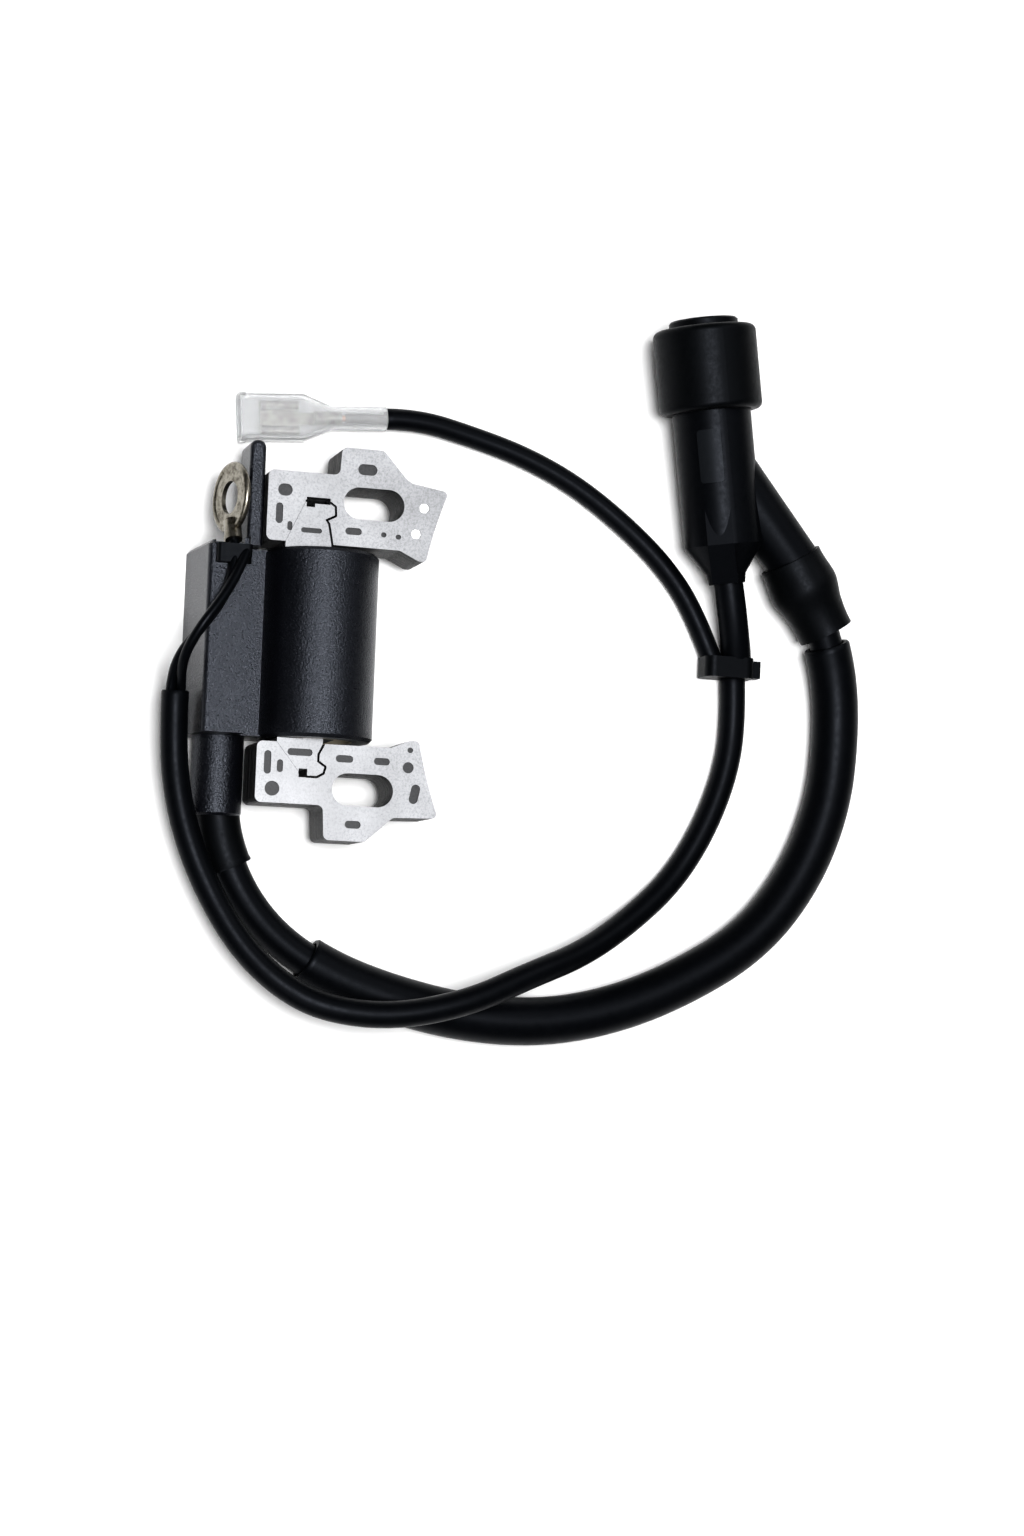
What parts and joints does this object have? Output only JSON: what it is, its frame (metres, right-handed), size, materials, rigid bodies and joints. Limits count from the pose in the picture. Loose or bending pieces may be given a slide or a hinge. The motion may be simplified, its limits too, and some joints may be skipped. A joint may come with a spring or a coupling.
{
  "type": "ignition coil",
  "caption": "Flywheel ignition coil of a small engine: laminated core, potted coil, spark lead with plug cap, kill lead with ring and spade terminals.",
  "frame": {"origin": "centre of the tower-end mounting slot on the core's back (mounting) face", "axes": "+Z along the lamination normal toward the bolt heads, +Y toward the flywheel, +X from the wire-end slot to the tower-end slot"},
  "size_m": [0.153, 0.1498, 0.0232],
  "materials": {
    "core_steel": "punched silicon steel, light grey, satin",
    "rivet_steel": "ground flush",
    "housing_plastic": "spark-eroded grain",
    "potting_resin": "cast epoxy",
    "bobbin_plastic": "natural moulding",
    "copper_winding": "enamelled copper wire",
    "board_laminate": "solder mask",
    "component_plastic": "moulded",
    "capacitor_film": "dipped",
    "brass": "turned",
    "tinned_metal": "tarnished tin plate",
    "spring_steel": "drawn wire",
    "copper_strand": "tinned copper",
    "lead_rubber": "satin",
    "wire_pvc": "satin",
    "sleeve_pvc": "satin",
    "clear_pvc": "milky clear",
    "cap_phenolic": "satin moulding",
    "cap_rubber": "satin",
    "resistor_ceramic": "glazed"
  },
  "bodies": {
    "root": {"core_leg_wire_end": "core_steel", "core_leg_tower_end": "core_steel", "core_center_bar": "core_steel", "core_rivets": "rivet_steel", "coil_housing": "housing_plastic", "potting_epoxy": "potting_resin", "primary_bobbin": "bobbin_plastic", "primary_winding": "copper_winding", "secondary_bobbin": "bobbin_plastic", "secondary_winding": "copper_winding", "ignition_circuit_board": "board_laminate", "power_transistor": "component_plastic", "storage_capacitor": "capacitor_film", "trigger_resistor": "resistor_ceramic", "ht_contact_pin": "brass", "wire_clip_block": "cap_rubber", "ring_terminal": "tinned_metal", "kill_wire": "wire_pvc", "ground_wire": "wire_pvc", "ht_tower_boot": "cap_rubber", "ht_lead_insulation": "lead_rubber", "ht_lead_conductor": "copper_strand", "ht_lead_sleeve": "sleeve_pvc", "kill_lead_sleeve": "sleeve_pvc", "branch_lead_sleeve": "sleeve_pvc", "cap_stub_tube": "sleeve_pvc", "splitter_collar": "cap_rubber", "spade_terminal": "brass", "spade_strands": "copper_strand", "spade_sleeve_clear": "clear_pvc", "plug_cap_body": "cap_phenolic", "plug_cap_seal": "cap_rubber", "cable_entry_boot": "cap_rubber", "suppressor_resistor": "resistor_ceramic", "contact_spring": "spring_steel", "plug_terminal_clip": "brass", "clip_ring": "spring_steel", "cable_spike": "brass"}
  },
  "joints": []
}
